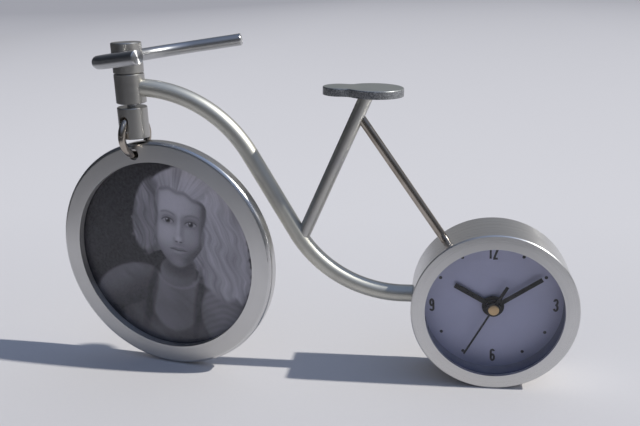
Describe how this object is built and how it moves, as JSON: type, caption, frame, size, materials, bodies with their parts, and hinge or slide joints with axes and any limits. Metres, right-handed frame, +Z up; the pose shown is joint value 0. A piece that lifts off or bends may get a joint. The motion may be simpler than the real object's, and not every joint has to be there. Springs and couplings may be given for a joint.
{
  "type": "photo frame clock",
  "caption": "Desk clock shaped like a bicycle: a round quartz clock as the rear wheel, a round photo frame hung on a ring as the front wheel, with bent tube, saddle and handlebar.",
  "frame": {"origin": "on the table under the clock's axis, in the bicycle's middle plane", "axes": "+X from the front wheel to the clock, +Y away from the viewer of the dial, +Z up"},
  "size_m": [0.2134, 0.0722, 0.1361],
  "materials": {
    "satin_aluminium": "satin brushed, anodised clear",
    "turned_aluminium": "fine turned grain",
    "saddle_grey": "matt bead-blasted plate",
    "nickel": "polished nickel plate",
    "clear": "clear polished",
    "dial_silver": "silver lacquer with printed black numbers",
    "spacer_grey": "moulded grey",
    "hand_black": "black lacquer",
    "brass": "bright turned",
    "steel": "plain zinc plated",
    "black_plastic": "moulded black, fine texture",
    "gear_plastic": "moulded natural acetal",
    "copper": "enamelled copper wire",
    "magnet": "sintered magnet",
    "board": "circuit board with sealed chip",
    "cell": "nickel plated button cell",
    "photo_paper": "resin coated photo print, monochrome",
    "card": "grey board",
    "back_plate": "black fine-textured sheet"
  },
  "bodies": {
    "stand": {"main_tube": "satin_aluminium", "tube_plug": "brass", "tube_screw": "steel", "head_collar": "satin_aluminium", "seat_tube": "satin_aluminium", "saddle": "saddle_grey", "seat_stay": "nickel", "stay_nut": "steel", "clock_case": "turned_aluminium", "crystal": "clear", "dial_spacer": "spacer_grey", "dial": "dial_silver", "movement_plate": "black_plastic", "train_plate": "black_plastic", "movement_housing": "black_plastic", "stator": "steel", "coil_core": "steel", "coil_winding": "copper", "circuit_board": "board", "battery": "cell", "battery_contact": "brass", "battery_side_contact": "brass", "back_cover": "black_plastic", "cover_screws": "steel", "retaining_ring": "steel"},
    "battery_lid": {"battery_cap": "black_plastic"},
    "setting": {"set_knob": "black_plastic", "setting_stem": "gear_plastic"},
    "minute": {"minute_hand": "hand_black", "cannon_pinion": "gear_plastic"},
    "reverser": {"reverser_wheel": "gear_plastic"},
    "hour": {"hour_hand": "hand_black", "hour_wheel": "gear_plastic"},
    "second": {"second_hand": "hand_black", "second_cap": "brass", "second_wheel": "gear_plastic"},
    "third": {"third_wheel": "gear_plastic"},
    "centre": {"centre_wheel": "gear_plastic"},
    "fifth": {"fifth_wheel": "gear_plastic"},
    "rotor": {"rotor_magnet": "magnet", "rotor_pinion": "brass"},
    "steering": {"steering_stem": "satin_aluminium", "handlebar_left": "satin_aluminium", "handlebar_right": "satin_aluminium", "steering_spindle": "steel", "fork": "satin_aluminium"},
    "link": {"hanger_ring": "nickel"},
    "photo_wheel": {"photo_frame_ring": "turned_aluminium", "photo_lens": "clear", "photo_print": "photo_paper", "photo_backing": "card"},
    "photo_back": {"photo_back_plate": "back_plate"}
  },
  "joints": [
    {"name": "steering_turn", "type": "hinge", "parent": "stand", "child": "steering", "pos_m": [-0.14245, 0, 0.112], "axis": [0, 0, 1], "continuous": true},
    {"name": "link_swing", "type": "hinge", "parent": "steering", "child": "link", "pos_m": [-0.14245, 0, 0.10391], "axis": [0.3256, 0.9455, 0], "range_deg": [-0.5, 6]},
    {"name": "photo_wheel_swing", "type": "hinge", "parent": "link", "child": "photo_wheel", "pos_m": [-0.14245, 0, 0.09152], "axis": [0.1908, 0.9816, 0], "range_deg": [-1, 22]},
    {"name": "photo_back_pull", "type": "slide", "parent": "photo_wheel", "child": "photo_back", "axis": [0.1908, 0.9816, 0], "range_m": [0, 0.012]},
    {"name": "minute_turn", "type": "hinge", "parent": "stand", "child": "minute", "pos_m": [0, 0, 0.032], "axis": [0, 1, 0], "continuous": true},
    {"name": "hour_turn", "type": "hinge", "parent": "stand", "child": "hour", "pos_m": [0, 0, 0.032], "axis": [0, 1, 0], "continuous": true},
    {"name": "reverser_turn", "type": "hinge", "parent": "stand", "child": "reverser", "pos_m": [0, 0, 0.0224], "axis": [0, 1, 0], "continuous": true},
    {"name": "setting_knob_turn", "type": "hinge", "parent": "stand", "child": "setting", "pos_m": [-0.0096, 0, 0.0224], "axis": [0, 1, 0], "continuous": true},
    {"name": "second_turn", "type": "hinge", "parent": "stand", "child": "second", "pos_m": [0, 0, 0.032], "axis": [0, 1, 0], "continuous": true},
    {"name": "third_turn", "type": "hinge", "parent": "stand", "child": "third", "pos_m": [-0.00752, 0, 0.03474], "axis": [0, 1, 0], "continuous": true},
    {"name": "centre_turn", "type": "hinge", "parent": "stand", "child": "centre", "pos_m": [0, 0, 0.032], "axis": [0, 1, 0], "continuous": true},
    {"name": "fifth_turn", "type": "hinge", "parent": "stand", "child": "fifth", "pos_m": [0.004, 0, 0.03893], "axis": [0, 1, 0], "continuous": true},
    {"name": "rotor_turn", "type": "hinge", "parent": "stand", "child": "rotor", "pos_m": [0.00989, 0, 0.04233], "axis": [0, 1, 0], "continuous": true},
    {"name": "battery_cap_turn", "type": "hinge", "parent": "stand", "child": "battery_lid", "pos_m": [0.011, 0.0108, 0.0225], "axis": [0, 1, 0], "range_deg": [0, 60]}
  ],
  "couplings": [
    {"joint": "hour_turn", "follows": "minute_turn", "ratio": 0.083333},
    {"joint": "reverser_turn", "follows": "minute_turn", "ratio": -0.33333},
    {"joint": "setting_knob_turn", "follows": "minute_turn", "ratio": 1},
    {"joint": "third_turn", "follows": "second_turn", "ratio": -0.13333},
    {"joint": "centre_turn", "follows": "second_turn", "ratio": 0.016667},
    {"joint": "fifth_turn", "follows": "second_turn", "ratio": -4},
    {"joint": "rotor_turn", "follows": "second_turn", "ratio": 30}
  ]
}
